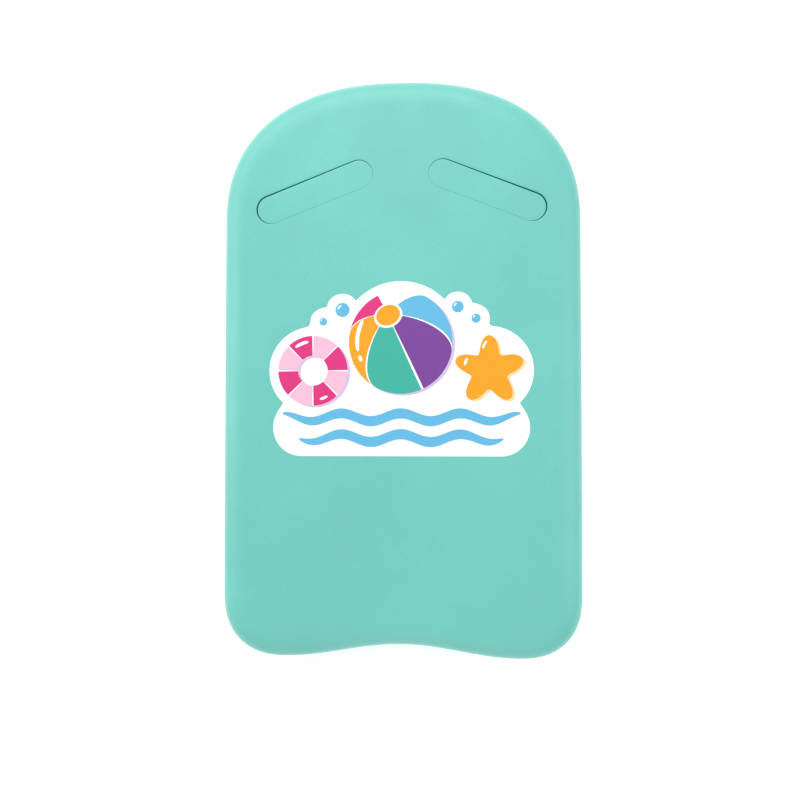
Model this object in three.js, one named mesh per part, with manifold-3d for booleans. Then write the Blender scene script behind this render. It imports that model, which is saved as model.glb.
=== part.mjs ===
// Kickboard float: a swimming board of three glued foam plies, with two die-cut grip plugs and a
// printed face.
//
// Millimetres. The board lies flat with its printed face up: +Z points out of that face, +Y points
// to the rounded nose, and the origin is on the ground under the middle of the board.

import * as THREE from 'three';
import { mergeVertices } from 'three/addons/utils/BufferGeometryUtils.js';
import Module from 'manifold-3d';

// ---- Board ----
const boardLength = 450;
const boardWidth = 280; // at its widest, near the tail
const boardThickness = 30;
const noseWidth = 278.5; // where the sides run into the nose
const noseDepth = 111.5; // from there to the tip
const noseFullness = 2.36; // exponent of the nose curve: 2 is an ellipse, more is squarer
const tailCornerWidth = 48.5;
const tailCornerDepth = 49;
const tailCornerFullness = 2.34;
const tailScoopDepth = 10;
const rimLand = 2; // flat strip round the middle of the rim
const edgeSteps = 5; // facets across each rounded edge

// ---- Plies, from the back face up ----
const plies = ['back', 'middle', 'front'];
const glueLine = 0.3; // between one ply and the next

// ---- Grip slots and the plugs in them ----
const slotWidth = 22.5;
const slotLength = 96;
const slotX = 67; // from the board's centre line to the middle of a slot
const slotY = 137;
const slotTilt = THREE.MathUtils.degToRad(21.2); // the outer ends lie further from the nose
const kerf = 0.7; // cut away all round a plug
const plugDrop = 0.35; // how far a plug has settled in its slot, away from the nose
const plugInset = 0.15; // and towards the centre line
const slotSteps = 9; // facets round each end of a slot

// ---- Print ----
const baseFilm = 0.2; // thickness of the white film
const inkFilm = 0.15; // thickness of the colours on it
const whiteBorder = 7; // white left outside the colours
const ball = { x: 0, y: 20, radius: 40 };
const ballTilt = THREE.MathUtils.degToRad(36); // between the ball's pole and the viewer
const ballTurn = THREE.MathUtils.degToRad(115); // direction in which the pole leans
const ballCap = THREE.MathUtils.degToRad(15); // half-angle of the round cap at the pole
const ballSeam = THREE.MathUtils.degToRad(1.3); // half-width of the seams, in longitude
const ring = { x: -68, y: -2, radius: 27, hole: 11.5 };
const ringBands = 8;
const ringSeam = THREE.MathUtils.degToRad(1.2);
const star = { x: 68, y: -2, radius: 27, arms: 5, depth: 0.3 };
const bubbles = [
  { x: -45, y: 45, radius: 5.5 },
  { x: -60, y: 36, radius: 3 },
  { x: 44, y: 47, radius: 4.5 },
  { x: 58, y: 38, radius: 3.5 },
];
const ripple = { upperY: -38, lowerY: -54, width: 8, height: 3, length: 184, waves: 4 };

// ---- Colours ----
const teal = '#7dd4c8';
const white = '#ffffff';
const pink = '#e83a8c';
const palePink = '#f9c6dd';
const orange = '#fcae1b';
const green = '#45beab';
const purple = '#824aa2';
const blue = '#6ec4e9';

const halfLength = boardLength / 2;
const edgeRadius = (boardThickness - rimLand) / 2;

const wasm = await Module();
wasm.setup();

// A closed three.js geometry as a solid that can be joined and cut.
function toSolid(geometry) {
  geometry.deleteAttribute('normal');
  geometry.deleteAttribute('uv');
  const welded = mergeVertices(geometry);
  const mesh = new wasm.Mesh({
    numProp: 3,
    vertProperties: welded.attributes.position.array,
    triVerts: welded.index.array,
  });
  return new wasm.Manifold(mesh);
}

function toGeometry(solid) {
  const { vertProperties, triVerts } = solid.getMesh();
  const geometry = new THREE.BufferGeometry();
  geometry.setAttribute('position', new THREE.BufferAttribute(vertProperties, 3));
  geometry.setIndex(new THREE.BufferAttribute(triVerts, 1));
  geometry.computeVertexNormals();
  return geometry;
}

function makeMesh(name, geometry, color, roughness) {
  const mesh = new THREE.Mesh(geometry, new THREE.MeshStandardMaterial({ color, roughness, metalness: 0 }));
  mesh.name = name;
  return mesh;
}

// Points of a function of a fraction that runs from 0 to 1, without the last one.
function along(steps, pointAt) {
  return Array.from({ length: steps }, (_, i) => pointAt(i / steps));
}

// ---- Outlines ----

// A quarter of a superellipse round (x, y), from its end on the x axis (0) to its end on the y axis (1).
function quarterPoint(fraction, x, y, width, depth, fullness) {
  const angle = (fraction * Math.PI) / 2;
  return new THREE.Vector2(
    x + width * Math.cos(angle) ** (2 / fullness),
    y + depth * Math.sin(angle) ** (2 / fullness),
  );
}

// The right half of the board's outline, from the middle of the tail to the tip of the nose.
function rightHalfOutline() {
  const lobeX = boardWidth / 2 - tailCornerWidth;
  const tailShoulderY = -halfLength + tailCornerDepth;
  const noseShoulderY = halfLength - noseDepth;
  const scoop = (t) => new THREE.Vector2(
    t * lobeX,
    -halfLength + (tailScoopDepth * (1 + Math.cos(Math.PI * t))) / 2,
  );
  const corner = (t) => quarterPoint(
    1 - t, lobeX, tailShoulderY, tailCornerWidth, -tailCornerDepth, tailCornerFullness,
  );
  const side = (t) => new THREE.Vector2(
    noseWidth / 2 + ((boardWidth - noseWidth) / 2) * Math.cos((t * Math.PI) / 2),
    THREE.MathUtils.lerp(tailShoulderY, noseShoulderY, t),
  );
  const nose = (t) => quarterPoint(t, 0, noseShoulderY, noseWidth / 2, noseDepth, noseFullness);
  return [...along(6, scoop), ...along(8, corner), ...along(4, side), ...along(15, nose)];
}

function boardOutline() {
  const right = rightHalfOutline();
  const tip = new THREE.Vector2(0, halfLength);
  const left = right.slice(1).reverse().map((p) => new THREE.Vector2(-p.x, p.y));
  return [...right, tip, ...left];
}

// An anticlockwise outline drawn in by a distance, square to its two edges at every corner.
function drawnIn(points, distance) {
  return points.map((point, i) => {
    const before = point.clone().sub(points.at(i - 1)).normalize();
    const after = points[(i + 1) % points.length].clone().sub(point).normalize();
    const tangent = before.clone().add(after).normalize();
    const inward = new THREE.Vector2(-tangent.y, tangent.x);
    return inward.multiplyScalar(distance / tangent.dot(after)).add(point);
  });
}

// A slot outline, long along X: two half circles joined by straight sides.
function stadium(length, width) {
  const radius = width / 2;
  const centre = length / 2 - radius;
  const shape = new THREE.Shape();
  shape.absarc(centre, 0, radius, -Math.PI / 2, Math.PI / 2);
  shape.absarc(-centre, 0, radius, Math.PI / 2, 1.5 * Math.PI);
  return shape;
}

// A flat plate of an outline, standing on a height.
function plate(shape, height, thickness, curveSegments = 16) {
  const geometry = new THREE.ExtrudeGeometry(shape, { depth: thickness, bevelEnabled: false, curveSegments });
  return geometry.translate(0, 0, height);
}

// ---- Board ----

// The whole board: a flat face each way, with edges that round outward from it to the rim land.
function boardBlank() {
  const face = new THREE.Shape(drawnIn(boardOutline(), edgeRadius));
  const geometry = new THREE.ExtrudeGeometry(face, {
    depth: rimLand,
    bevelThickness: edgeRadius,
    bevelSize: edgeRadius,
    bevelSegments: edgeSteps,
  });
  return toSolid(geometry.translate(0, 0, edgeRadius));
}

// The heights that a ply fills. Each ply is a third of the board, less half a glue line on each
// glued side.
function plySpan(index) {
  const thickness = boardThickness / plies.length;
  const low = index * thickness + (index > 0 ? glueLine / 2 : 0);
  const high = (index + 1) * thickness - (index < plies.length - 1 ? glueLine / 2 : 0);
  return { low, thickness: high - low };
}

// A slab wider than the board, which cuts one ply out of it.
function plySlab(index) {
  const { low, thickness } = plySpan(index);
  const geometry = new THREE.BoxGeometry(boardWidth * 2, boardLength * 2, thickness);
  return toSolid(geometry.translate(0, 0, low + thickness / 2));
}

// side is 1 for the right slot and -1 for the left one.
function slotCutter(side) {
  const overrun = 5;
  const shape = stadium(slotLength, slotWidth);
  const geometry = plate(shape, -overrun, boardThickness + 2 * overrun, slotSteps);
  return toSolid(geometry.rotateZ(-side * slotTilt).translate(side * slotX, slotY, 0));
}

function boardPlies() {
  const blank = boardBlank().subtract(slotCutter(1)).subtract(slotCutter(-1));
  const group = new THREE.Group();
  plies.forEach((ply, i) => {
    group.add(makeMesh(`${ply}_ply`, toGeometry(blank.intersect(plySlab(i))), teal, 0.65));
  });
  return group;
}

// ---- Grip plugs ----

// One plug, in the plies of the board it was cut from, set at its place in its slot.
function gripPlug(side, name) {
  const shape = stadium(slotLength - 2 * kerf, slotWidth - 2 * kerf);
  const plug = new THREE.Group();
  plies.forEach((ply, i) => {
    const { low, thickness } = plySpan(i);
    const geometry = plate(shape, low, thickness, slotSteps);
    plug.add(makeMesh(`${name}_grip_plug_${ply}_ply`, geometry, teal, 0.65));
  });
  plug.position.set(-side * plugInset, -plugDrop, 0);

  const slot = new THREE.Group();
  slot.add(plug);
  slot.position.set(side * slotX, slotY, 0);
  slot.rotation.z = -side * slotTilt;
  return slot;
}

// ---- Print ----

// How far a disc reaches from the print's centre in a direction; 0 where it isn't met.
function discReach(x, y, radius, angle) {
  const forward = x * Math.cos(angle) + y * Math.sin(angle);
  const sideways = x * Math.sin(angle) - y * Math.cos(angle);
  const chord = radius ** 2 - sideways ** 2;
  return chord > 0 ? Math.max(0, forward + Math.sqrt(chord)) : 0;
}

// The same for a bar with round ends that lies below the centre along X.
function barReach(y, length, radius, angle) {
  const end = length / 2 - radius;
  const down = -Math.sin(angle);
  const toEdge = (radius - y) / down;
  const onEdge = down > 0 && Math.abs(toEdge * Math.cos(angle)) < end;
  const ends = Math.max(discReach(end, y, radius, angle), discReach(-end, y, radius, angle));
  return onEdge ? toEdge : ends;
}

// The white film follows the colours at one distance, with its inward corners softened.
function baseOutline() {
  const blend = 24; // higher keeps the inward corners sharper
  const barY = (ripple.upperY + ripple.lowerY) / 2;
  const barRadius = (ripple.upperY - ripple.lowerY + ripple.width) / 2 + ripple.height + whiteBorder;
  const reachAt = (angle) => {
    const discs = [ball, ring, star, ...bubbles];
    const reaches = discs.map((disc) => discReach(disc.x, disc.y, disc.radius + whiteBorder, angle));
    reaches.push(barReach(barY, ripple.length + 2 * whiteBorder, barRadius, angle));
    const furthest = Math.max(...reaches);
    return furthest * reaches.reduce((sum, r) => sum + (r / furthest) ** blend, 0) ** (1 / blend);
  };
  return new THREE.Shape(along(96, (t) => {
    const angle = t * 2 * Math.PI;
    const reach = reachAt(angle);
    return new THREE.Vector2(reach * Math.cos(angle), reach * Math.sin(angle));
  }));
}

// A point of the ball as the viewer sees it, from its longitude and its angle from the pole.
function ballPoint(longitude, fromPole) {
  const x = Math.sin(fromPole) * Math.cos(longitude) * Math.cos(ballTilt) + Math.cos(fromPole) * Math.sin(ballTilt);
  const y = Math.sin(fromPole) * Math.sin(longitude);
  return new THREE.Vector2(x, y)
    .rotateAround(new THREE.Vector2(), ballTurn)
    .multiplyScalar(ball.radius)
    .add(new THREE.Vector2(ball.x, ball.y));
}

// Where a meridian passes out of sight, as an angle from the pole.
function horizon(longitude) {
  return Math.atan2(Math.cos(ballTilt), Math.sin(ballTilt) * Math.cos(longitude));
}

function ballPanel(from, to) {
  const lon = (t) => THREE.MathUtils.lerp(from, to, t);
  const onMeridian = (longitude, t) => ballPoint(
    longitude, THREE.MathUtils.lerp(ballCap + ballSeam, horizon(longitude), t),
  );
  return new THREE.Shape([
    ...along(7, (t) => onMeridian(from, t)),
    ...along(9, (t) => onMeridian(lon(t), 1)),
    ...along(7, (t) => onMeridian(to, 1 - t)),
    ...along(3, (t) => onMeridian(lon(1 - t), 0)),
  ]);
}

function ballCapOutline() {
  return new THREE.Shape(along(20, (t) => ballPoint(t * 2 * Math.PI, ballCap - ballSeam)));
}

function ringBand(from, to) {
  const shape = new THREE.Shape();
  shape.absarc(ring.x, ring.y, ring.radius, from, to);
  shape.absarc(ring.x, ring.y, ring.hole, to, from, true);
  return shape;
}

function starOutline() {
  return new THREE.Shape(along(50, (t) => {
    const angle = t * 2 * Math.PI;
    const wave = (1 + star.depth * Math.cos(star.arms * angle)) / (1 + star.depth);
    const reach = star.radius * wave;
    return new THREE.Vector2(star.x - reach * Math.sin(angle), star.y + reach * Math.cos(angle));
  }));
}

function bubbleOutline({ x, y, radius }) {
  return new THREE.Shape().absarc(x, y, radius, 0, 2 * Math.PI);
}

// A ribbon that waves evenly about a height, and narrows to a round tip at each end.
function rippleOutline(y, length) {
  const edge = (side) => (t) => {
    const fromMiddle = -Math.cos(Math.PI * t);
    const x = (side * fromMiddle * length) / 2;
    const halfWidth = (ripple.width / 2) * Math.sqrt(1 - fromMiddle ** 4);
    const crest = ripple.height * Math.cos((2 * Math.PI * ripple.waves * x) / ripple.length);
    return new THREE.Vector2(x, y + crest - side * halfWidth);
  };
  return new THREE.Shape([...along(44, edge(1)), ...along(44, edge(-1))]);
}

function print() {
  const inkHeight = boardThickness + baseFilm;
  const ink = (name, shape, color, steps = 8) => makeMesh(
    `print_${name}`, plate(shape, inkHeight, inkFilm, steps), color, 0.4,
  );
  const group = new THREE.Group();
  group.add(makeMesh('print_base', plate(baseOutline(), boardThickness, baseFilm), white, 0.45));

  // One sector in six is left white.
  const panelColors = [pink, orange, green, purple, blue];
  const sector = (2 * Math.PI) / (panelColors.length + 1);
  panelColors.forEach((color, i) => {
    const panel = ballPanel(i * sector + ballSeam, (i + 1) * sector - ballSeam);
    group.add(ink(`ball_panel_${i + 1}`, panel, color));
  });
  group.add(ink('ball_cap', ballCapOutline(), orange));

  const band = (2 * Math.PI) / ringBands;
  for (let i = 0; i < ringBands; i += 1) {
    const shape = ringBand(i * band + ringSeam, (i + 1) * band - ringSeam);
    group.add(ink(`ring_band_${i + 1}`, shape, i % 2 ? palePink : pink, 5));
  }

  group.add(ink('star', starOutline(), orange));
  bubbles.forEach((bubble, i) => group.add(ink(`bubble_${i + 1}`, bubbleOutline(bubble), blue, 9)));
  group.add(ink('ripple_upper', rippleOutline(ripple.upperY, ripple.length), blue));
  group.add(ink('ripple_lower', rippleOutline(ripple.lowerY, ripple.length * 0.86), blue));
  return group;
}

const kickboard = new THREE.Group();
kickboard.add(
  boardPlies(),
  gripPlug(-1, 'left'),
  gripPlug(1, 'right'),
  print(),
);

export default kickboard;
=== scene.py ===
"""Kickboard float: the finished foam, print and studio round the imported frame.

Metres. The board lies on its back: +Z points out of the printed face and +Y to the nose.
"""

import math
from functools import partial

import bpy
import numpy as np
from mathutils import Matrix, Vector, noise
from mathutils.geometry import delaunay_2d_cdt


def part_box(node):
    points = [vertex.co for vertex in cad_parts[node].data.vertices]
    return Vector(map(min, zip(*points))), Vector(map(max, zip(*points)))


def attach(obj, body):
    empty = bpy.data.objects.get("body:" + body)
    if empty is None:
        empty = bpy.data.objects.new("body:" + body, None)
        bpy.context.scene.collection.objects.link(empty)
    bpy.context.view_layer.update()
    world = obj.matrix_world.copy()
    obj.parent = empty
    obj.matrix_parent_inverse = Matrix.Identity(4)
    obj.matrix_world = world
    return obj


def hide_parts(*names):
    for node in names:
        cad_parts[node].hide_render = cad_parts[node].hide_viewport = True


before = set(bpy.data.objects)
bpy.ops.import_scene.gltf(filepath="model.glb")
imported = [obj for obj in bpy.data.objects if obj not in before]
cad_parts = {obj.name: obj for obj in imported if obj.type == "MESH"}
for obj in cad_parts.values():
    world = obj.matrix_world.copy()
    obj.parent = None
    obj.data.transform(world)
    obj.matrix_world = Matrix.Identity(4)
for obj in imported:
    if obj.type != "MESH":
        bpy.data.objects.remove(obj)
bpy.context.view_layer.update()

MM = 0.001
SHARP_ANGLE = math.radians(40)

# ---- The board, from the frame ----
FRONT_LOW, FRONT_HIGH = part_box("front_ply")
MIDDLE_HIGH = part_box("middle_ply")[1]
HALF_WIDTH = MIDDLE_HIGH.x
HALF_LENGTH = MIDDLE_HIGH.y
THICKNESS = FRONT_HIGH.z
MIDDLE_Z = THICKNESS / 2
GLUE_Z = (FRONT_LOW.z + MIDDLE_HIGH.z) / 2
GLUE = 0.12 * MM

# ---- Meshing: how near a fill's points come to its edge, in spacings, and what counts as a sliver ----
EDGE_CLEARANCE = 0.55
MERGE_DISTANCE = 1e-8
SLIVER_SHARE = 1e-4

# ---- The outline and the edge ----
NOSE_HALF_WIDTH = 139.25 * MM
NOSE_DEPTH = 111.5 * MM
NOSE_FULLNESS = 2.36
TAIL_CORNER = (48.5 * MM, 49 * MM)
TAIL_CORNER_FULLNESS = 2.34
TAIL_SCOOP_DEPTH = 10 * MM
RIM_LAND = 1 * MM
EDGE_WIDTH = 22 * MM
EDGE_RISE = MIDDLE_Z - RIM_LAND
EDGE_FULLNESS = 2.2
FACE_SAG = 0.2 * MM
BROAD_SWELL = 0.20 * MM
CLOSE_SWELL = 0.045 * MM
RIM_SPACING = 3.2 * MM
FACE_SPACING = 3.6 * MM
HIDDEN_SPACING = 9 * MM

# ---- Slots and plugs ----
SLOT_X = 67 * MM
SLOT_Y = 137 * MM
SLOT_TILT = math.radians(21.2)
SLOT_REACH = 36.75 * MM
SLOT_RADIUS = 11.25 * MM
KERF = 1.05 * MM
PLUG_CLEARANCE = 0.06 * MM
KERF_DEPTH = 3 * MM
GROOVE_TOP = 1 * MM
GROOVE_STEPS = (0.3, 0.6, 0.8)
OPEN_TOWARDS = (0.5, 0.87)  # to the outer end and to the nose, which the plug has settled away from
OPEN_AT_MIDDLE = 0.72
OPEN_MORE_AT_END = 0.28
LIP_WHERE_SHUT = 0.12
LIP_WHERE_OPEN = 0.88
SLOT_WALL_TOP = 1.4 * MM
SLOT_TEAR = 0.22 * MM
PLUG_TEAR = 0.18 * MM
GROOVE_TEAR = 0.08 * MM
TEAR_SIZE = 1.7 * MM
PLUG_SINK = 0.04 * MM
PLUG_FACE_SPACING = 2.4 * MM
PLUG_HIDDEN_SPACING = 6 * MM

# ---- Print ----
PRINT_Z = 0.01 * MM
BASE_FILM = 0.11 * MM
INK_FILM = 0.08 * MM
GLINT_FILM = 0.05 * MM
SHADE_FILM = INK_FILM * 0.7
WHITE_BORDER = 7 * MM
BALL = (0, 20 * MM, 40 * MM)
BALL_TILT = math.radians(36)
BALL_TURN = math.radians(115)
BALL_CAP = math.radians(15)
BALL_SEAM = math.radians(1.3)
RING = (-68 * MM, -2 * MM, 27 * MM)
RING_HOLE = 11.5 * MM
RING_BANDS = 8
RING_SEAM = math.radians(1.2)
STAR = (68 * MM, -2 * MM, 27 * MM)
STAR_ARMS = 5
STAR_DEPTH = 0.3
BUBBLES = [
    (-45 * MM, 45 * MM, 5.5 * MM),
    (-60 * MM, 36 * MM, 3 * MM),
    (44 * MM, 47 * MM, 4.5 * MM),
    (58 * MM, 38 * MM, 3.5 * MM),
]
RIPPLE_HEIGHTS = (-38 * MM, -54 * MM)
RIPPLE_LENGTHS = (184 * MM, 158 * MM)
RIPPLE_WIDTH = 8 * MM
RIPPLE_CREST = 3 * MM
RIPPLE_PERIOD = 46 * MM
SHADE_SHIFT = (1.9 * MM, -1.3 * MM)

# ---- Colours ----
TEAL = "#69c4b8"
# Darker and more saturated than the skin: partly the cut foam's own colour, partly painted shade of the
# narrow kerf.
CUT_TEAL_WITH_KERF_SHADE = "#4abdad"
INKS = {
    "white": "#ffffff",
    "pink": "#dc2f7e",
    "pale_pink": "#f2bdd5",
    "orange": "#f3a314",
    "pale_orange": "#f6d9a4",
    "green": "#3bb29f",
    "purple": "#784097",
    "pale_purple": "#d2bfe2",
    "blue": "#62b8df",
}


# ---- Studio ----
FLOOR_HALF = 4.0
FLOOR_GREYS = ((0.93, 0.93, 0.93, 1), (0.95, 0.95, 0.95, 1))
FLOOR_GLOW = 0.32
WORLD_STRENGTH = 0.645
LIGHTS = [
    # name, place, size, power; each faces the board
    ("overhead", (-0.1, 0.75, 1.2), 0.9, 2.2),
    ("nose_softbox", (-0.15, 1.5, 1.05), 1.2, 7.9),
    ("nose_left_softbox", (-1.15, 1.1, 0.95), 1.0, 4.5),
    ("left_softbox", (-1.6, 0.2, 0.85), 1.2, 6.5),
    ("right_softbox", (1.35, 0.1, 1.2), 1.6, 6.8),
    ("tail_softbox", (0.1, -1.6, 0.9), 1.6, 3.4),
]
CAMERA_DISTANCE = 0.70
CAMERA_TO_RIGHT = math.radians(3.2)
CAMERA_TO_TAIL = math.radians(0.8)
CAMERA_TARGET = (-1.3 * MM, -24.5 * MM, MIDDLE_Z)
CAMERA_LENS = 40.05


# ---------------------------------------------------------------- Flat geometry


def fractions(steps):
    """0 to just under 1."""
    return np.arange(steps) / steps


def superellipse(fraction, width, depth, fullness):
    """A quarter curve from (width, 0) at fraction 0 to (0, depth) at 1."""
    angle = np.clip(fraction, 0, 1) * math.pi / 2
    across = width * np.abs(np.cos(angle)) ** (2 / fullness)
    up = depth * np.abs(np.sin(angle)) ** (2 / fullness)
    return np.stack([across, up], 1)


def board_outline(spacing):
    """The rim of the board, anticlockwise from the middle of the tail, evenly spaced."""
    corner_width, corner_depth = TAIL_CORNER
    lobe_x = HALF_WIDTH - corner_width
    shoulder_y = -HALF_LENGTH + corner_depth
    nose_y = HALF_LENGTH - NOSE_DEPTH
    t = fractions(400)
    scoop_rise = TAIL_SCOOP_DEPTH * (1 + np.cos(math.pi * t)) / 2
    scoop = np.stack([t * lobe_x, -HALF_LENGTH + scoop_rise], 1)
    corner = superellipse(1 - t, corner_width, -corner_depth, TAIL_CORNER_FULLNESS) + (lobe_x, shoulder_y)
    side_x = NOSE_HALF_WIDTH + (HALF_WIDTH - NOSE_HALF_WIDTH) * np.cos(t * math.pi / 2)
    side = np.stack([side_x, shoulder_y + t * (nose_y - shoulder_y)], 1)
    nose = superellipse(t, NOSE_HALF_WIDTH, NOSE_DEPTH, NOSE_FULLNESS) + (0, nose_y)
    right = np.concatenate([scoop, corner, side, nose])
    left = right[:0:-1] * (-1, 1)
    return evenly(np.concatenate([right, [[0, HALF_LENGTH]], left]), spacing)


def evenly(loop, spacing):
    """The closed loop with evenly spaced points."""
    closed = np.concatenate([loop, loop[:1]])
    travelled = np.concatenate([[0], np.cumsum(np.linalg.norm(np.diff(closed, axis=0), axis=1))])
    count = max(8, round(travelled[-1] / spacing))
    at = fractions(count) * travelled[-1]
    return np.stack([np.interp(at, travelled, closed[:, k]) for k in (0, 1)], 1)


def drawn_in(loop, distance):
    """An anticlockwise loop moved inward by a distance."""
    along = np.roll(loop, -1, 0) - np.roll(loop, 1, 0)
    along /= np.linalg.norm(along, axis=1)[:, None]
    return loop + distance * np.stack([-along[:, 1], along[:, 0]], 1)


def stadium(radius, arc_steps=24, side_steps=44):
    """A slot outline about its own middle, long along X, anticlockwise."""
    turn = fractions(arc_steps) * math.pi - math.pi / 2
    cap = np.stack([SLOT_REACH + radius * np.cos(turn), radius * np.sin(turn)], 1)
    run = SLOT_REACH - fractions(side_steps) * 2 * SLOT_REACH
    side = np.stack([run, np.full(side_steps, radius)], 1)
    return np.concatenate([cap, side, -cap, -side])


def in_slot(loop, side):
    """A loop set at its place on the board: side 1 is the right slot, -1 the left."""
    tilt = -side * SLOT_TILT
    turned = np.array([[math.cos(tilt), math.sin(tilt)], [-math.sin(tilt), math.cos(tilt)]])
    return loop @ turned + (side * SLOT_X, SLOT_Y)


def inside(points, loop):
    """Which points lie inside a closed loop."""
    x, y = points[:, :1], points[:, 1:]
    x0, y0 = loop.T
    x1, y1 = np.roll(loop, -1, 0).T
    rise = np.where(y1 == y0, 1, y1 - y0)
    crossed = ((y0 > y) != (y1 > y)) & (x < x0 + (y - y0) * (x1 - x0) / rise)
    return crossed.sum(1) % 2 == 1


def within(points, loops):
    """Which points lie inside the first loop and outside all of the others."""
    kept = inside(points, loops[0])
    for hole in loops[1:]:
        kept &= ~inside(points, hole)
    return kept


def triangle_grid(low, high, spacing):
    """Points of an even triangular grid over a rectangle."""
    row = spacing * math.sqrt(3) / 2
    rows = np.arange(low[1] + row / 2, high[1], row)
    columns = np.arange(low[0], high[0], spacing)
    grid = [(x + (i % 2) * spacing / 2, y) for i, y in enumerate(rows) for x in columns]
    return np.array(grid).reshape(-1, 2)


def triangulate(loops, spacing, keep=None):
    """(points, triangles) that fill the first loop less the others, or where keep(points) is true.

    The loops' own points come first, in their order, where no two loops cross. Slivers only arise
    outside a loop, along its straight stretches, so they are left out.
    """
    keep = keep or partial(within, loops=loops)
    grid = triangle_grid(loops[0].min(0), loops[0].max(0), spacing)
    edge_points = np.concatenate(loops)
    grid = grid[keep(grid)] if len(grid) else grid
    if len(grid):
        nearest = np.array([np.min(np.sum((edge_points - p) ** 2, 1)) for p in grid])
        grid = grid[nearest > (EDGE_CLEARANCE * spacing) ** 2]
    points = np.concatenate([edge_points, grid])
    edges, start = [], 0
    for loop in loops:
        count = len(loop)
        edges += [(start + i, start + (i + 1) % count) for i in range(count)]
        start += count
    made = delaunay_2d_cdt([Vector(p) for p in points], edges, [], 0, MERGE_DISTANCE)
    points = np.array([tuple(v) for v in made[0]])
    triangles = np.array([tuple(f) for f in made[2]])
    corners = points[triangles]
    ab, ac = corners[:, 1] - corners[:, 0], corners[:, 2] - corners[:, 0]
    area = (ab[:, 0] * ac[:, 1] - ab[:, 1] * ac[:, 0]) / 2
    triangles = np.where((area < 0)[:, None], triangles[:, ::-1], triangles)
    sliver = np.abs(area) < SLIVER_SHARE * np.maximum((ab ** 2).sum(1), (ac ** 2).sum(1))
    return points, triangles[keep(corners.mean(1)) & ~sliver]


# ---------------------------------------------------------------- Solids


class Solid:
    """One closed piece, put together from rings and flat fills."""

    def __init__(self):
        self.points = []
        self.faces = []
        self.cut = []

    def ring(self, loop, height):
        """Adds a loop at a height, or at each point's own height, and returns its indices."""
        start = len(self.points)
        heights = np.broadcast_to(height, len(loop))
        self.points += [(x, y, z) for (x, y), z in zip(loop, heights)]
        return list(range(start, start + len(loop)))

    def stack(self, rings, cut=False):
        """Joins each ring to the next, facing outward where they run anticlockwise and upward."""
        for lower, upper in zip(rings, rings[1:]):
            for i, corner in enumerate(lower):
                after = (i + 1) % len(lower)
                self.faces.append((corner, lower[after], upper[after], upper[i]))
                self.cut.append(cut)

    def fill(self, loops, rings, height_at, spacing, up=True):
        """Fills between the rings, which stand on the loops, with a surface of height_at(points)."""
        points, triangles = triangulate(loops, spacing)
        edge = [index for ring in rings for index in ring]
        fresh = points[len(edge):]
        index = np.array(edge + self.ring(fresh, height_at(fresh)))
        order = triangles if up else triangles[:, ::-1]
        self.faces += [tuple(index[t]) for t in order]
        self.cut += [False] * len(order)

    def finish(self, name, mirrored=False):
        """The foam piece as an object, or its mirror image in the middle of the board's thickness."""
        points, faces = self.points, self.faces
        if mirrored:
            points = [(x, y, THICKNESS - z) for x, y, z in points]
            faces = [face[::-1] for face in faces]
        piece = make_object(name, points, faces, MATERIALS["skin"])
        piece.data.materials.append(MATERIALS["cut"])
        piece.data.polygons.foreach_set("material_index", np.array(self.cut, dtype=np.int32))
        return piece


def make_object(name, points, faces, material):
    mesh = bpy.data.meshes.new(name)
    mesh.from_pydata([tuple(map(float, p)) for p in points], [], [tuple(map(int, f)) for f in faces])
    mesh.shade_smooth()
    mesh.set_sharp_from_angle(angle=SHARP_ANGLE)
    mesh.materials.append(material)
    piece = bpy.data.objects.new(name, mesh)
    bpy.context.scene.collection.objects.link(piece)
    return piece


def noise_at(points, size, seed):
    """Smooth noise from -1 to 1 whose swells are about one size across."""
    return np.array([noise.noise(Vector((x / size, y / size, seed))) for x, y in points])


def face_wave(points, seed=0.0):
    """How far the soft foam face rises and falls at each point."""
    broad = noise_at(points, 85 * MM, seed + 3.1)
    close = noise_at(points, 32 * MM, seed + 7.7)
    return BROAD_SWELL * broad + CLOSE_SWELL * close


def face_height(points, seed=0.0):
    """The height of a face, with its highest swells level with the CAD's flat one."""
    return THICKNESS - FACE_SAG + face_wave(points, seed)


# ---------------------------------------------------------------- Materials


def linear(hex_colour):
    """A display colour as linear red, green, blue and alpha."""
    values = [int(hex_colour[i:i + 2], 16) / 255 for i in (1, 3, 5)]
    return (*[v / 12.92 if v <= 0.04045 else ((v + 0.055) / 1.055) ** 2.4 for v in values], 1)


def shade(colour, factor):
    """A colour made darker or lighter by a factor."""
    return (*[min(1, c * factor) for c in colour[:3]], 1)


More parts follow.
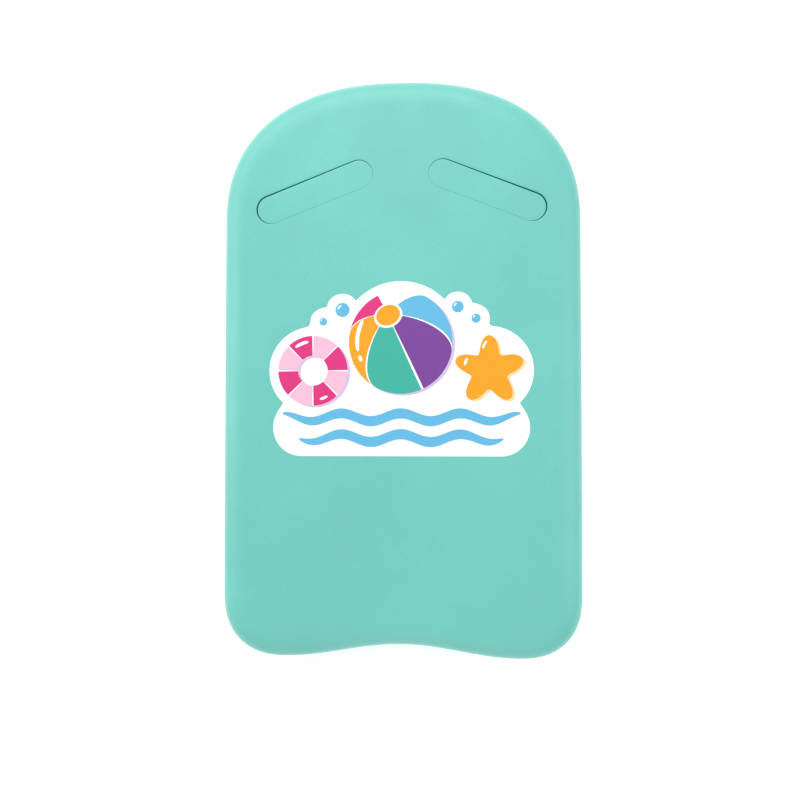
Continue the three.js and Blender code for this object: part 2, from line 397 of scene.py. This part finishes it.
class Surface:
    """A material's nodes, on the piece's own coordinates in metres."""

    def __init__(self, name):
        self.material = bpy.data.materials.new(name)
        self.material.use_nodes = True
        self.tree = self.material.node_tree
        self.shader = self.tree.nodes["Principled BSDF"]
        self.place = self.add("ShaderNodeTexCoord").outputs["Object"]

    def add(self, kind, **settings):
        node = self.tree.nodes.new(kind)
        for key, value in settings.items():
            setattr(node, key, value)
        return node

    def link(self, output, target):
        self.tree.links.new(output, target)

    def noise(self, size, detail=2.0, roughness=0.5):
        """Noise with swells of a size in metres."""
        node = self.add("ShaderNodeTexNoise")
        node.inputs["Scale"].default_value = 1 / size
        node.inputs["Detail"].default_value = detail
        node.inputs["Roughness"].default_value = roughness
        self.link(self.place, node.inputs["Vector"])
        return node.outputs["Fac"]

    def cells(self, size, feature="F1"):
        """Distance in a pattern of cells of a size in metres."""
        node = self.add("ShaderNodeTexVoronoi", feature=feature)
        node.inputs["Scale"].default_value = 1 / size
        self.link(self.place, node.inputs["Vector"])
        return node.outputs["Distance"]

    def spread(self, value, low, high, to_low, to_high):
        """A value remapped from one range to another."""
        node = self.add("ShaderNodeMapRange")
        for key, number in (("From Min", low), ("From Max", high), ("To Min", to_low), ("To Max", to_high)):
            node.inputs[key].default_value = number
        self.link(value, node.inputs["Value"])
        return node.outputs["Result"]

    def mix(self, amount, first, second, blend="MIX"):
        """Two colours mixed; each is a colour or an output."""
        node = self.add("ShaderNodeMix", data_type="RGBA", blend_type=blend)
        if hasattr(amount, "links"):
            self.link(amount, node.inputs["Factor"])
        else:
            node.inputs["Factor"].default_value = amount
        for key, colour in (("A", first), ("B", second)):
            socket = [s for s in node.inputs if s.name == key and s.type == "RGBA"][0]
            if hasattr(colour, "links"):
                self.link(colour, socket)
            else:
                socket.default_value = colour
        return [s for s in node.outputs if s.type == "RGBA"][0]

    def bump(self, height, distance, strength=1.0, below=None):
        node = self.add("ShaderNodeBump")
        node.inputs["Distance"].default_value = distance
        node.inputs["Strength"].default_value = strength
        self.link(height, node.inputs["Height"])
        if below is not None:
            self.link(below, node.inputs["Normal"])
        return node.outputs["Normal"]

    def set_inputs(self, inputs):
        """Sets the shader's sockets: an output is linked and a constant is set."""
        for key, value in inputs.items():
            if hasattr(value, "links"):
                self.link(value, self.shader.inputs[key])
            else:
                self.shader.inputs[key].default_value = value
        return self.material


def foam_skin():
    """Closed-cell skin: softly mottled, with fine cells, scattered pinholes with painted shade in them and
    a velvety sheen.
    """
    s = Surface("foam_skin")
    teal = linear(TEAL)
    mottle = s.spread(s.noise(60 * MM, 3), 0.35, 0.65, 0, 1)
    colour = s.mix(mottle, shade(teal, 0.975), shade(teal, 1.045))
    cells = s.cells(0.8 * MM)
    # Darker towards the middle of each cell, where the pebble bump sinks.
    colour = s.mix(s.spread(cells, 0.1, 0.6, 0.55, 0), colour, shade(teal, 0.86))
    pinholes = s.spread(s.cells(3.4 * MM), 0.04, 0.08, 1, 0)
    # Painted shade: each pinhole is darkened to stand for the shade that falls inside it.
    colour = s.mix(s.spread(pinholes, 0, 1, 0, 0.45), colour, shade(teal, 0.45))
    pebble = s.bump(cells, 0.06 * MM, 0.6)
    sunken = s.bump(s.spread(pinholes, 0, 1, 1, 0), 0.12 * MM, 0.6, below=pebble)
    grain = s.bump(s.noise(0.35 * MM, 2), 0.03 * MM, 0.5, below=sunken)
    return s.set_inputs({
        "Base Color": colour,
        "Roughness": s.spread(s.noise(25 * MM, 4), 0.3, 0.7, 0.37, 0.43),
        "Normal": grain,
        "Specular IOR Level": 0.7,
        "Sheen Weight": 0.2,
        "Sheen Roughness": 0.35,
    })


def foam_cut():
    """Die-cut foam: open cells, rough, and deeper and darker in colour than the skin, partly the cut foam's
    own colour and partly painted shade of the narrow kerf.
    """
    s = Surface("foam_cut")
    teal = linear(CUT_TEAL_WITH_KERF_SHADE)
    cells = s.cells(0.8 * MM)
    # Painted shade: darker in the middle of each open cell, where the pits sink.
    colour = s.mix(s.spread(cells, 0.05, 0.55, 0, 1), shade(teal, 0.80), teal)
    pits = s.bump(cells, 0.25 * MM, 0.8)
    return s.set_inputs({
        "Base Color": colour,
        "Roughness": 0.9,
        "Normal": s.bump(s.noise(0.3 * MM, 3), 0.05 * MM, 0.6, below=pits),
        "Specular IOR Level": 0.15,
    })


def ink(name):
    """One colour of the heat-transferred film: satin, with the foam's pebble showing through."""
    s = Surface("print_" + name)
    colour = linear(INKS[name])
    grain = s.spread(s.noise(1.6 * MM, 3), 0.3, 0.7, 0, 1)
    pebble = s.bump(s.cells(0.8 * MM), 0.05 * MM, 0.4)
    return s.set_inputs({
        "Base Color": s.mix(grain, shade(colour, 0.95), colour),
        "Roughness": s.spread(s.noise(6 * MM, 3), 0.3, 0.7, 0.34, 0.44),
        "Normal": pebble,
        "IOR": 1.46,
        "Sheen Weight": 0.0,
    })


MATERIALS = {"skin": foam_skin(), "cut": foam_cut(), **{name: ink(name) for name in INKS}}


# ---------------------------------------------------------------- Board


def edge_inset(height):
    """How far the pressed edge stands in from the rim at a height."""
    up = max(0, abs(height - MIDDLE_Z) - RIM_LAND) / EDGE_RISE
    return EDGE_WIDTH * (1 - max(0, 1 - up ** EDGE_FULLNESS) ** (1 / EDGE_FULLNESS))


def glue_pinch(height, toward):
    """(inset, height) down one ply's edge to the glue, where the press has rounded it off."""
    steps = [(0.0, 0.6), (0.05, 0.35), (0.16, 0.15), (0.34, 0.03), (0.6, 0.0)]
    return [(edge_inset(height) + inward * MM, height + toward * away * MM) for inward, away in steps]


def torn(loop, height, depth):
    """A cut wall's loop at a height, torn back by up to a depth: outward, or inward if negative."""
    seen = [noise.noise(Vector((x, y, height)) / TEAR_SIZE) for x, y in loop]
    return drawn_in(loop, -depth * (0.5 + 0.5 * np.array(seen))[:, None])


def cut_wall(solid, loop, high, low, depth, steps=8):
    """Rings of a die-cut wall, from high to low."""
    return [solid.ring(torn(loop, height, depth), height) for height in np.linspace(high, low, steps)]


def ring_loop(solid, ring):
    return np.array([solid.points[i][:2] for i in ring])


def flat_fill(solid, rings, height, spacing, up):
    loops = [ring_loop(solid, ring) for ring in rings]
    solid.fill(loops, rings, lambda p: np.full(len(p), height), spacing, up)


def opening(side):
    """How far the cut has opened at each point round a slot, 0 to 1.

    The plug has settled towards the tail and the centre line, most of all at its outer end.
    """
    to_end, to_nose = OPEN_TOWARDS
    loop = stadium(SLOT_RADIUS)
    axis_x = np.clip(loop[:, 0], -SLOT_REACH, SLOT_REACH)
    facing = (side * to_end * (loop[:, 0] - axis_x) + to_nose * loop[:, 1]) / SLOT_RADIUS
    outward = side * loop[:, 0] / (SLOT_REACH + SLOT_RADIUS)
    return (1 + facing) / 2 * (OPEN_AT_MIDDLE + OPEN_MORE_AT_END * outward)


def lip_depth(side):
    """How strongly the edges of a cut round down at each point: hardly at all where it is shut."""
    return LIP_WHERE_SHUT + LIP_WHERE_OPEN * opening(side)


def slot_lip(solid, side, wave_seed):
    """The pressed-in edge of a slot, from the flat face down into the slot."""
    profile = [(2.4, 0.0), (1.5, 0.01), (0.9, 0.05), (0.5, 0.12), (0.24, 0.23), (0.08, 0.40), (0.0, 0.70)]
    rings = []
    for outward, down in profile:
        loop = in_slot(stadium(SLOT_RADIUS + outward * MM), side)
        rings.append(solid.ring(loop, face_height(loop, wave_seed) - down * MM * lip_depth(side)))
    return rings


def outer_ply(name, wave_seed, mirrored=False):
    """The front ply, or mirrored the back one: a face, its rounded edge and the slots through it."""
    solid = Solid()
    rim = board_outline(3.2 * MM)
    bottom = GLUE_Z + GLUE / 2
    pinch = glue_pinch(bottom, 1)[::-1]
    first_turn = math.asin(((pinch[-1][1] - MIDDLE_Z - RIM_LAND) / EDGE_RISE) ** (EDGE_FULLNESS / 2))
    rings = [solid.ring(drawn_in(rim, inset), height) for inset, height in pinch[:-1]]
    for turn in np.linspace(first_turn, math.pi / 2, 18):
        height = MIDDLE_Z + RIM_LAND + EDGE_RISE * math.sin(turn) ** (2 / EDGE_FULLNESS)
        loop = drawn_in(rim, edge_inset(height))
        swell = (turn / (math.pi / 2)) ** 3 * (face_wave(loop, wave_seed) - FACE_SAG)
        rings.append(solid.ring(loop, height + swell))
    solid.stack(rings)

    tops, bottoms = [rings[-1]], [rings[0]]
    for side in (1, -1):
        lip = slot_lip(solid, side, wave_seed)
        slot = in_slot(stadium(SLOT_RADIUS), side)
        wall = cut_wall(solid, slot, THICKNESS - SLOT_WALL_TOP, bottom, SLOT_TEAR)
        solid.stack(lip)
        solid.stack([lip[-1]] + wall, cut=True)
        tops.append(lip[0])
        bottoms.append(wall[-1])
    loops = [ring_loop(solid, ring) for ring in tops]
    solid.fill(loops, tops, partial(face_height, seed=wave_seed), FACE_SPACING)
    flat_fill(solid, bottoms, bottom, HIDDEN_SPACING, up=False)
    return solid.finish(name, mirrored)


def middle_ply(name):
    """The middle ply: its edge pinches in at both glue lines, and the slots run through it."""
    solid = Solid()
    rim = board_outline(3.2 * MM)
    high, low = GLUE_Z - GLUE / 2, THICKNESS - GLUE_Z + GLUE / 2
    upper, lower = glue_pinch(high, -1), glue_pinch(low, 1)[::-1]
    between = [(edge_inset(height), height) for height in np.linspace(lower[-1][1], upper[0][1], 9)[1:-1]]
    rings = [solid.ring(drawn_in(rim, inset), height) for inset, height in lower + between + upper]
    solid.stack(rings)
    tops, bottoms = [rings[-1]], [rings[0]]
    for side in (1, -1):
        wall = cut_wall(solid, in_slot(stadium(SLOT_RADIUS), side), high, low, SLOT_TEAR)
        solid.stack(wall, cut=True)
        tops.append(wall[0])
        bottoms.append(wall[-1])
    flat_fill(solid, tops, high, HIDDEN_SPACING, up=True)
    flat_fill(solid, bottoms, low, HIDDEN_SPACING, up=False)
    return solid.finish(name)


# ---------------------------------------------------------------- Grip plugs


def plug_loop(side, inward=0.0, gap=1.0):
    """A plug's outline; gap is 1 at the face, where the cut has opened, and 0 where it is shut."""
    distance = PLUG_CLEARANCE + gap * KERF * opening(side) + inward
    return drawn_in(in_slot(stadium(SLOT_RADIUS), side), distance[:, None])


def plug_outer_ply(name, side, wave_seed, mirrored=False):
    """A plug's front ply, or mirrored its back one, with the soft edge that the die left."""

    def level(points):
        return face_height(points, wave_seed) - PLUG_SINK

    solid = Solid()
    profile = [(0.0, 0.65), (0.07, 0.36), (0.22, 0.19), (0.48, 0.09), (0.95, 0.03), (1.8, 0.0)]
    bottom = GLUE_Z + GLUE / 2
    wall = cut_wall(solid, plug_loop(side, gap=0), THICKNESS - KERF_DEPTH, bottom, -PLUG_TEAR)
    groove = []
    for gap in GROOVE_STEPS:
        height = THICKNESS - KERF_DEPTH + gap * (KERF_DEPTH - GROOVE_TOP)
        groove.append(solid.ring(torn(plug_loop(side, gap=gap), height, -GROOVE_TEAR), height))
    lip = []
    for inward, down in profile:
        loop = plug_loop(side, inward * MM)
        lip.append(solid.ring(loop, level(loop) - down * MM * lip_depth(side)))
    solid.stack(wall[::-1] + groove + lip[:1], cut=True)
    solid.stack(lip)
    solid.fill([ring_loop(solid, lip[-1])], [lip[-1]], level, PLUG_FACE_SPACING)
    flat_fill(solid, [wall[-1]], bottom, PLUG_HIDDEN_SPACING, up=False)
    return solid.finish(name, mirrored)


def plug_middle_ply(name, side):
    """A plug's middle ply: torn walls between two flat glued faces."""
    solid = Solid()
    high, low = GLUE_Z - GLUE / 2, THICKNESS - GLUE_Z + GLUE / 2
    wall = cut_wall(solid, plug_loop(side, gap=0), high, low, -PLUG_TEAR)
    solid.stack(wall[::-1], cut=True)
    flat_fill(solid, [wall[0]], high, PLUG_HIDDEN_SPACING, up=True)
    flat_fill(solid, [wall[-1]], low, PLUG_HIDDEN_SPACING, up=False)
    return solid.finish(name)


# ---------------------------------------------------------------- Print outlines


def arc(x, y, reach, turn):
    """Points round (x, y) at each angle, at one reach or at each point's own."""
    return np.stack([x + reach * np.cos(turn), y + reach * np.sin(turn)], 1)


def disc(x, y, radius):
    turn = fractions(max(24, round(2 * math.pi * radius / (1.1 * MM)))) * 2 * math.pi
    return arc(x, y, radius, turn)


def disc_reach(x, y, radius, angle):
    """How far a disc reaches from the print's centre in each direction; 0 where it isn't met."""
    forward = x * np.cos(angle) + y * np.sin(angle)
    sideways = x * np.sin(angle) - y * np.cos(angle)
    chord = radius ** 2 - sideways ** 2
    return np.where(chord > 0, np.maximum(0, forward + np.sqrt(np.maximum(chord, 0))), 0)


def bar_reach(y, length, radius, angle):
    """The same for a round-ended bar that lies below the centre along X."""
    end = length / 2 - radius
    down = np.maximum(-np.sin(angle), 1e-9)
    to_edge = (radius - y) / down
    on_edge = (np.sin(angle) < 0) & (np.abs(to_edge * np.cos(angle)) < end)
    ends = np.maximum(disc_reach(end, y, radius, angle), disc_reach(-end, y, radius, angle))
    return np.where(on_edge, to_edge, ends)


def base_outline():
    """The white film's contour: one distance outside the colours, with softened inward corners."""
    blend = 24
    angle = fractions(900) * 2 * math.pi
    upper, lower = RIPPLE_HEIGHTS
    bar_radius = (upper - lower + RIPPLE_WIDTH) / 2 + RIPPLE_CREST + WHITE_BORDER
    reaches = [disc_reach(x, y, r + WHITE_BORDER, angle) for x, y, r in [BALL, RING, STAR, *BUBBLES]]
    bar_length = RIPPLE_LENGTHS[0] + 2 * WHITE_BORDER
    reaches.append(bar_reach((upper + lower) / 2, bar_length, bar_radius, angle))
    furthest = np.max(reaches, axis=0)
    reach = furthest * np.sum((np.array(reaches) / furthest) ** blend, axis=0) ** (1 / blend)
    return evenly(np.stack([reach * np.cos(angle), reach * np.sin(angle)], 1), 1.2 * MM)


def ball_point(longitude, from_pole):
    """Points of the ball as the viewer sees it."""
    across = np.sin(from_pole) * np.cos(longitude)
    x = across * math.cos(BALL_TILT) + np.cos(from_pole) * math.sin(BALL_TILT)
    y = np.sin(from_pole) * np.sin(longitude)
    turned_x = x * math.cos(BALL_TURN) - y * math.sin(BALL_TURN)
    turned_y = x * math.sin(BALL_TURN) + y * math.cos(BALL_TURN)
    centre_x, centre_y, radius = BALL
    return np.stack([centre_x + radius * turned_x, centre_y + radius * turned_y], 1)


def horizon(longitude):
    """How far from the pole the ball's edge is at a longitude."""
    return np.arctan2(math.cos(BALL_TILT), math.sin(BALL_TILT) * np.cos(longitude))


def meridian(longitude, at):
    """Points at fractions of the way from the cap to the horizon."""
    from_pole = BALL_CAP + BALL_SEAM + at * (horizon(longitude) - BALL_CAP - BALL_SEAM)
    return ball_point(np.full(len(at), longitude), from_pole)


def ball_panel(start, end):
    """One panel of the ball: out along a meridian, round the horizon, and back to the cap."""
    t = fractions(40)
    across = start + t * (end - start)
    return evenly(np.concatenate([
        meridian(start, t),
        ball_point(across, horizon(across)),
        meridian(end, 1 - t),
        ball_point(across[::-1], np.full(len(t), BALL_CAP + BALL_SEAM)),
    ]), 0.9 * MM)


def ring_band(start, end):
    """One coloured band of the swim ring, between two angles."""
    x, y, radius = RING
    turn = np.linspace(start, end, 24)
    outer = arc(x, y, radius, turn)
    inner = arc(x, y, RING_HOLE, turn[::-1])
    return evenly(np.concatenate([outer, inner]), 0.9 * MM)


def star_outline():
    x, y, radius = STAR
    turn = fractions(400) * 2 * math.pi
    reach = radius * (1 + STAR_DEPTH * np.cos(STAR_ARMS * turn)) / (1 + STAR_DEPTH)
    return evenly(np.stack([x - reach * np.sin(turn), y + reach * np.cos(turn)], 1), 1 * MM)


def ripple_outline(y, length):
    """An even wave with round tips, anticlockwise from its left end along the lower edge."""
    from_middle = -np.cos(math.pi * fractions(240))
    half_width = RIPPLE_WIDTH / 2 * np.sqrt(1 - from_middle ** 4)

    def edge(side):
        x = side * from_middle * length / 2
        crest = RIPPLE_CREST * np.cos(2 * math.pi * x / RIPPLE_PERIOD)
        return np.stack([x, y + crest - side * half_width], 1)

    return evenly(np.concatenate([edge(1), edge(-1)]), 1 * MM)


def glint(x, y, radius, start, end, width):
    """A curved highlight with round tips, part of a circle between two angles in degrees."""
    from_middle = -np.cos(math.pi * fractions(60))
    half_width = width / 2 * np.sqrt(1 - from_middle ** 4)
    middle, half_turn = math.radians(start + end) / 2, math.radians(end - start) / 2

    def edge(side):
        turn = middle + side * from_middle * half_turn
        reach = radius + side * half_width
        return arc(x, y, reach, turn)

    return evenly(np.concatenate([edge(1), edge(-1)]), 0.5 * MM)


# ---------------------------------------------------------------- Print


def film(name, loops, height, thickness, colour, keep=None, spacing=4 * MM):
    """A thin film that follows the face: it fills the loops, or wherever keep(points) is true."""
    points, triangles = triangulate(loops, spacing, keep)
    used, renumbered = np.unique(triangles, return_inverse=True)
    triangles = renumbered.reshape(-1, 3)
    points = points[used]
    level = face_height(points) + height
    count = len(points)
    lower = [(x, y, z) for (x, y), z in zip(points, level)]
    upper = [(x, y, z + thickness) for x, y, z in lower]
    edges = {(t[i], t[(i + 1) % 3]) for t in triangles for i in range(3)}
    walls = [(a, b, b + count, a + count) for a, b in edges if (b, a) not in edges]
    top_faces = [tuple(t + count) for t in triangles]
    bottom_faces = [tuple(t[::-1]) for t in triangles]
    faces = top_faces + bottom_faces + sorted(walls)
    piece = make_object(name, lower + upper, faces, MATERIALS[colour])
    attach(piece, "board")
    return piece


def printed(node, loop, colour):
    """A colour area that stands for a CAD node."""
    piece = film(node + "_ink", [loop], PRINT_Z + BASE_FILM, INK_FILM, colour)
    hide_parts(node)


def tinted(name, shape, colour):
    """The pale offset shade of a shape: what of the shifted shape lies outside the shape itself."""
    shifted = [loop + SHADE_SHIFT for loop in shape]

    def keep(points):
        return within(points, shifted) & ~within(points, shape)

    piece = film(name, shifted + shape, PRINT_Z + BASE_FILM, SHADE_FILM, colour, keep, 3 * MM)


def highlight(name, loop):
    """A white glint that lies on top of a colour area."""
    piece = film(name, [loop], PRINT_Z + BASE_FILM + INK_FILM, GLINT_FILM, "white", spacing=2 * MM)


def print_base():
    piece = film("print_base_film", [base_outline()], PRINT_Z, BASE_FILM, "white")
    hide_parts("print_base")


def print_ball():
    colours = ["pink", "orange", "green", "purple", "blue"]
    sector = 2 * math.pi / (len(colours) + 1)
    for i, colour in enumerate(colours):
        panel = ball_panel(i * sector + BALL_SEAM, (i + 1) * sector - BALL_SEAM)
        printed(f"print_ball_panel_{i + 1}", panel, colour)
    turn = fractions(60) * 2 * math.pi
    printed("print_ball_cap", ball_point(turn, np.full(60, BALL_CAP - BALL_SEAM)), "orange")
    x, y, radius = BALL
    tinted("print_ball_shade", [disc(x, y, radius)], "pale_purple")
    highlight("print_ball_glint", glint(x, y, radius * 0.84, 150, 192, 3 * MM))
    highlight("print_ball_glint_small", glint(x, y, radius * 0.84, 198, 206, 2.6 * MM))


def print_ring():
    band = 2 * math.pi / RING_BANDS
    for i in range(RING_BANDS):
        colour = "pale_pink" if i % 2 else "pink"
        loop = ring_band(i * band + RING_SEAM, (i + 1) * band - RING_SEAM)
        printed(f"print_ring_band_{i + 1}", loop, colour)
    x, y, radius = RING
    tinted("print_ring_shade", [disc(x, y, radius), disc(x, y, RING_HOLE)], "pale_purple")
    highlight("print_ring_glint", glint(x, y, radius * 0.84, 99, 127, 2.4 * MM))
    highlight("print_ring_glint_small", glint(x, y, radius * 0.84, -76, -60, 2 * MM))


def print_star():
    printed("print_star", star_outline(), "orange")
    tinted("print_star_shade", [star_outline()], "pale_orange")
    x, y, radius = STAR
    arm_x, arm_y = x + 0.38 * radius, y + 0.46 * radius
    highlight("print_star_glint", glint(arm_x, arm_y, radius * 0.585, 140, 164, 1.8 * MM))
    highlight("print_star_glint_small", glint(x - 0.1 * radius, y, radius * 0.62, 146, 166, 1.9 * MM))


def print_bubbles():
    for i, (x, y, radius) in enumerate(BUBBLES):
        printed(f"print_bubble_{i + 1}", disc(x, y, radius), "blue")
        highlight(f"print_bubble_glint_{i + 1}", glint(x, y, radius * 0.62, 105, 175, radius * 0.24))


def print_ripples():
    for node, y, length in zip(("upper", "lower"), RIPPLE_HEIGHTS, RIPPLE_LENGTHS):
        printed("print_ripple_" + node, ripple_outline(y, length), "blue")


# ---------------------------------------------------------------- Studio


def area_light(name, place, target, size, power):
    """A round softbox that faces a target."""
    light = bpy.data.lights.new(name, "AREA")
    light.shape = "DISK"
    light.size = size
    light.energy = power
    lamp = bpy.data.objects.new(name, light)
    lamp.location = place
    lamp.rotation_euler = (Vector(target) - Vector(place)).to_track_quat("-Z", "Y").to_euler()
    bpy.context.scene.collection.objects.link(lamp)


def studio_floor():
    """A pale floor that glows a little, so that it comes out white round the board."""
    half = FLOOR_HALF
    corners = [(-half, -half, 0), (half, -half, 0), (half, half, 0), (-half, half, 0)]
    paint = Surface("studio_floor")
    patches = paint.spread(paint.noise(0.4), 0.3, 0.7, 0, 1)
    paint.set_inputs({
        "Base Color": paint.mix(patches, *FLOOR_GREYS),
        "Roughness": 0.9,
        "Emission Color": (1, 1, 1, 1),
        "Emission Strength": FLOOR_GLOW,
    })
    floor = make_object("studio_floor", corners, [(0, 1, 2, 3)], paint.material)


def studio():
    """The floor, a white world and the softboxes round the board."""
    studio_floor()
    world = bpy.data.worlds.new("studio_world")
    world.use_nodes = True
    world.node_tree.nodes["Background"].inputs["Color"].default_value = (1, 1, 1, 1)
    world.node_tree.nodes["Background"].inputs["Strength"].default_value = WORLD_STRENGTH
    bpy.context.scene.world = world

    middle = (0, 0, MIDDLE_Z)
    for name, place, size, power in LIGHTS:
        area_light(name, place, middle, size, power)


def camera():
    """Above the board and square to it but for a few degrees, looking just below its middle."""
    target = Vector(CAMERA_TARGET)
    back = Vector((
        math.sin(CAMERA_TO_RIGHT) * math.cos(CAMERA_TO_TAIL),
        -math.sin(CAMERA_TO_TAIL),
        math.cos(CAMERA_TO_RIGHT) * math.cos(CAMERA_TO_TAIL),
    ))
    across = Vector((0, 1, 0)).cross(back).normalized()
    lens_data = bpy.data.cameras.new("camera")
    lens_data.lens = CAMERA_LENS
    lens_data.clip_end = 50
    eye = bpy.data.objects.new("camera", lens_data)
    facing = Matrix((across, back.cross(across), back)).transposed().to_4x4()
    eye.matrix_world = Matrix.Translation(target + CAMERA_DISTANCE * back) @ facing
    bpy.context.scene.collection.objects.link(eye)
    bpy.context.scene.camera = eye
    bpy.context.scene.view_settings.view_transform = "Standard"


# ---------------------------------------------------------------- The whole


def foam_piece(piece, node, body):
    """Puts a foam piece on its body, in place of its CAD node."""
    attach(piece, body)
    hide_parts(node)


camera()
studio()

FRONT_SEED, BACK_SEED = 0.0, 41.0
foam_piece(outer_ply("front_foam", FRONT_SEED), "front_ply", "board")
foam_piece(middle_ply("middle_foam"), "middle_ply", "board")
foam_piece(outer_ply("back_foam", BACK_SEED, mirrored=True), "back_ply", "board")
for side, word in ((1, "right"), (-1, "left")):
    plug = f"{word}_grip_plug"
    front = plug_outer_ply(plug + "_front_foam", side, FRONT_SEED)
    middle = plug_middle_ply(plug + "_middle_foam", side)
    back = plug_outer_ply(plug + "_back_foam", side, BACK_SEED, mirrored=True)
    foam_piece(front, plug + "_front_ply", plug)
    foam_piece(middle, plug + "_middle_ply", plug)
    foam_piece(back, plug + "_back_ply", plug)

print_base()
print_ball()
print_ring()
print_star()
print_bubbles()
print_ripples()
